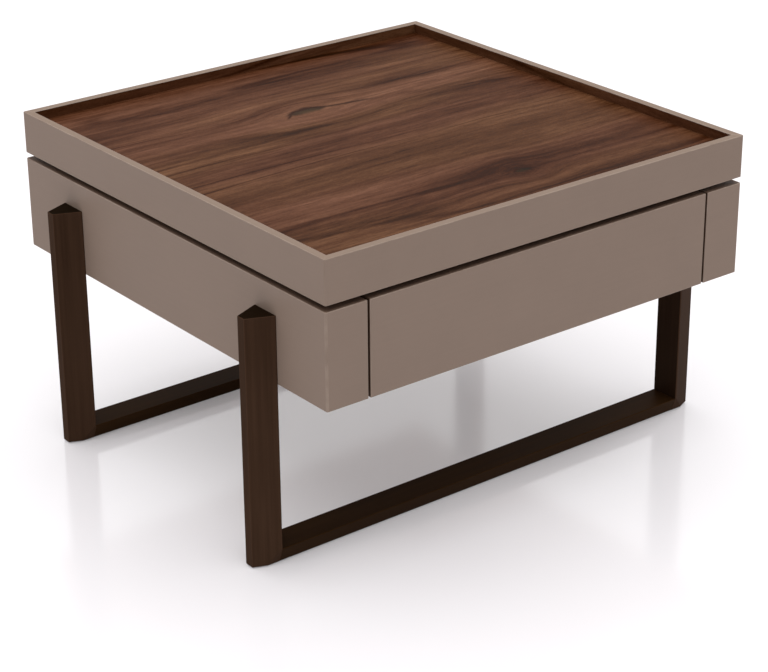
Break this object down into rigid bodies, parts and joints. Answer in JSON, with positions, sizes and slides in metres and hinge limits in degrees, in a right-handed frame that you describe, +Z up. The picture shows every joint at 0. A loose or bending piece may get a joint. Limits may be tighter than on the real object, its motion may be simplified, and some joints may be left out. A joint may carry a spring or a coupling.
{
  "type": "coffee table",
  "caption": "Square coffee table with a recessed walnut tray top over a shadow gap, a flush handle-less drawer in a lacquered box, and dark sled frames.",
  "frame": {"origin": "on the floor under the centre of the table", "axes": "+Z up, +X along the drawer front to the right, -Y out of the drawer front"},
  "size_m": [0.664, 0.6, 0.388],
  "materials": {
    "taupe_lacquer": "matt lacquer on board",
    "walnut": "satin walnut veneer",
    "dark_lacquer": "satin dark brown lacquer on beech",
    "carcass_board": "matt foil-faced chipboard",
    "drawer_board": "birch plywood, clear lacquer",
    "softwood": "planed softwood",
    "dowel_beech": "fluted beech",
    "zinc_steel": "zinc-plated sheet",
    "ball_steel": "polished balls",
    "screw_steel": "yellow-zinc plated",
    "bolt_steel": "black zinc",
    "insert_brass": "turned",
    "glide_felt": "pressed felt",
    "bumper_rubber": "clear soft dots"
  },
  "bodies": {
    "table": {"tray_panel": "walnut", "tray_rim_front": "taupe_lacquer", "tray_cleat_front": "softwood", "spacer_batten_front": "softwood", "tray_rim_back": "taupe_lacquer", "tray_cleat_back": "softwood", "spacer_batten_back": "softwood", "tray_rim_left": "taupe_lacquer", "tray_cleat_left": "softwood", "spacer_batten_left": "softwood", "tray_rim_right": "taupe_lacquer", "tray_cleat_right": "softwood", "spacer_batten_right": "softwood", "tray_screws": "screw_steel", "back_panel": "taupe_lacquer", "carcass_top": "carcass_board", "carcass_bottom": "carcass_board", "carcass_dowels": "dowel_beech", "rail_screws": "screw_steel", "slide_cabinet_screws": "screw_steel", "post_bolts": "bolt_steel", "post_inserts": "insert_brass", "runner_dowels": "dowel_beech", "runner_front": "dark_lacquer", "runner_rear": "dark_lacquer", "floor_glides": "glide_felt", "side_panel_left": "taupe_lacquer", "front_stile_left": "taupe_lacquer", "slide_rail_left": "softwood", "slide_cabinet_member_left": "zinc_steel", "post_front_left": "dark_lacquer", "post_rear_left": "dark_lacquer", "side_panel_right": "taupe_lacquer", "front_stile_right": "taupe_lacquer", "slide_rail_right": "softwood", "slide_cabinet_member_right": "zinc_steel", "post_front_right": "dark_lacquer", "post_rear_right": "dark_lacquer"},
    "drawer": {"drawer_front": "taupe_lacquer", "drawer_box_front": "drawer_board", "drawer_back": "drawer_board", "drawer_bottom": "drawer_board", "drawer_corner_screws": "screw_steel", "drawer_front_screws": "screw_steel", "drawer_bumpers": "bumper_rubber", "slide_drawer_screws": "screw_steel", "drawer_side_left": "drawer_board", "slide_drawer_member_left": "zinc_steel", "drawer_side_right": "drawer_board", "slide_drawer_member_right": "zinc_steel"},
    "slide_middle_left": {"slide_middle_member_left": "zinc_steel"},
    "outer_cage_left": {"slide_outer_cage_left": "zinc_steel", "slide_outer_balls_left": "ball_steel"},
    "inner_cage_left": {"slide_inner_cage_left": "zinc_steel", "slide_inner_balls_left": "ball_steel"},
    "slide_middle_right": {"slide_middle_member_right": "zinc_steel"},
    "outer_cage_right": {"slide_outer_cage_right": "zinc_steel", "slide_outer_balls_right": "ball_steel"},
    "inner_cage_right": {"slide_inner_cage_right": "zinc_steel", "slide_inner_balls_right": "ball_steel"}
  },
  "joints": [
    {"name": "drawer_slide", "type": "slide", "parent": "table", "child": "drawer", "axis": [0, -1, 0], "range_m": [0, 0.45]},
    {"name": "slide_middle_left_travel", "type": "slide", "parent": "table", "child": "slide_middle_left", "axis": [0, -1, 0], "range_m": [0, 0.225]},
    {"name": "outer_cage_left_travel", "type": "slide", "parent": "table", "child": "outer_cage_left", "axis": [0, -1, 0], "range_m": [0, 0.1125]},
    {"name": "inner_cage_left_travel", "type": "slide", "parent": "table", "child": "inner_cage_left", "axis": [0, -1, 0], "range_m": [0, 0.3375]},
    {"name": "slide_middle_right_travel", "type": "slide", "parent": "table", "child": "slide_middle_right", "axis": [0, -1, 0], "range_m": [0, 0.225]},
    {"name": "outer_cage_right_travel", "type": "slide", "parent": "table", "child": "outer_cage_right", "axis": [0, -1, 0], "range_m": [0, 0.1125]},
    {"name": "inner_cage_right_travel", "type": "slide", "parent": "table", "child": "inner_cage_right", "axis": [0, -1, 0], "range_m": [0, 0.3375]}
  ],
  "couplings": [
    {"joint": "slide_middle_left_travel", "follows": "drawer_slide", "ratio": 0.5},
    {"joint": "outer_cage_left_travel", "follows": "drawer_slide", "ratio": 0.25},
    {"joint": "inner_cage_left_travel", "follows": "drawer_slide", "ratio": 0.75},
    {"joint": "slide_middle_right_travel", "follows": "drawer_slide", "ratio": 0.5},
    {"joint": "outer_cage_right_travel", "follows": "drawer_slide", "ratio": 0.25},
    {"joint": "inner_cage_right_travel", "follows": "drawer_slide", "ratio": 0.75}
  ]
}
